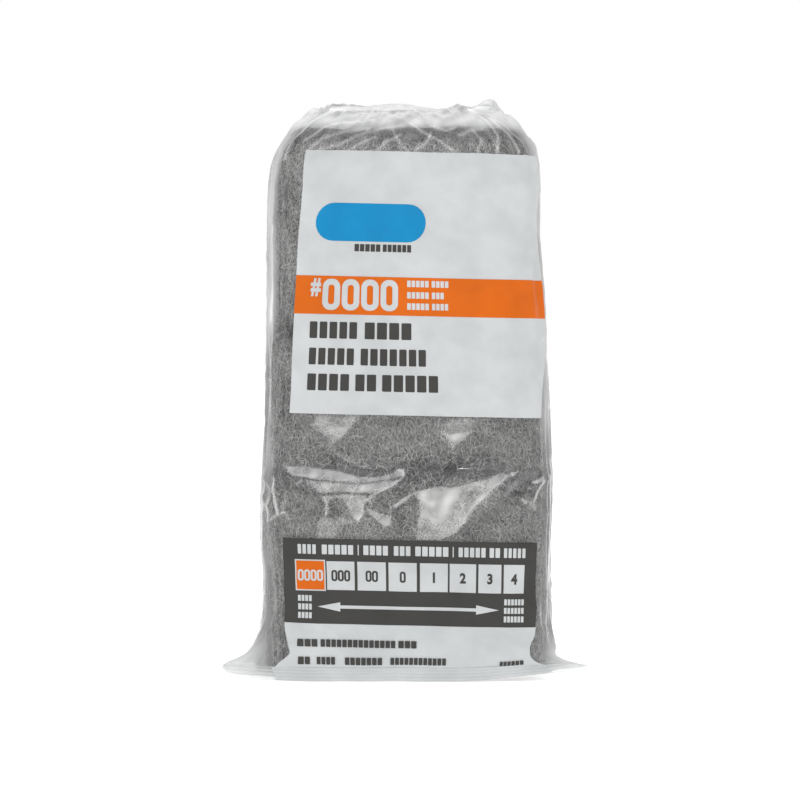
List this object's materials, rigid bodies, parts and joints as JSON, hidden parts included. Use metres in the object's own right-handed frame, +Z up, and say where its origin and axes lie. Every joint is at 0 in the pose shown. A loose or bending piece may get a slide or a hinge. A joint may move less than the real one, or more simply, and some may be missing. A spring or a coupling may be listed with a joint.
{
  "type": "steel wool pad pack",
  "caption": "Sealed clear film bag packed with rolled steel wool pads in stacked rows, with a printed front and a seal at each end.",
  "frame": {"origin": "under the middle of the bag, on the surface it stands on", "axes": "+Z up towards the top seal, -Y out of the printed front, +X to the right of someone who faces the print"},
  "size_m": [0.1446, 0.0838, 0.2236],
  "materials": {
    "steel_wool": "fine steel fibre, lightly metallic",
    "clear_film": "thin clear polythene, glossy and a little milky",
    "white_ink": "white ink on film",
    "orange_ink": "orange ink on film",
    "dark_ink": "dark grey ink on film",
    "blue_ink": "blue ink on film"
  },
  "bodies": {
    "root": {"pad_bottom_front": "steel_wool", "pad_bottom_second": "steel_wool", "pad_bottom_third": "steel_wool", "pad_bottom_back": "steel_wool", "pad_middle_front": "steel_wool", "pad_middle_second": "steel_wool", "pad_middle_third": "steel_wool", "pad_middle_back": "steel_wool", "pad_top_front": "steel_wool", "pad_top_second": "steel_wool", "pad_top_third": "steel_wool", "pad_top_back": "steel_wool", "bag_film": "clear_film", "print_upper_field": "white_ink", "print_lower_field": "white_ink", "print_grade_band": "orange_ink", "print_grade_guide": "dark_ink", "print_grade_square": "orange_ink", "print_mark": "blue_ink"}
  },
  "joints": []
}
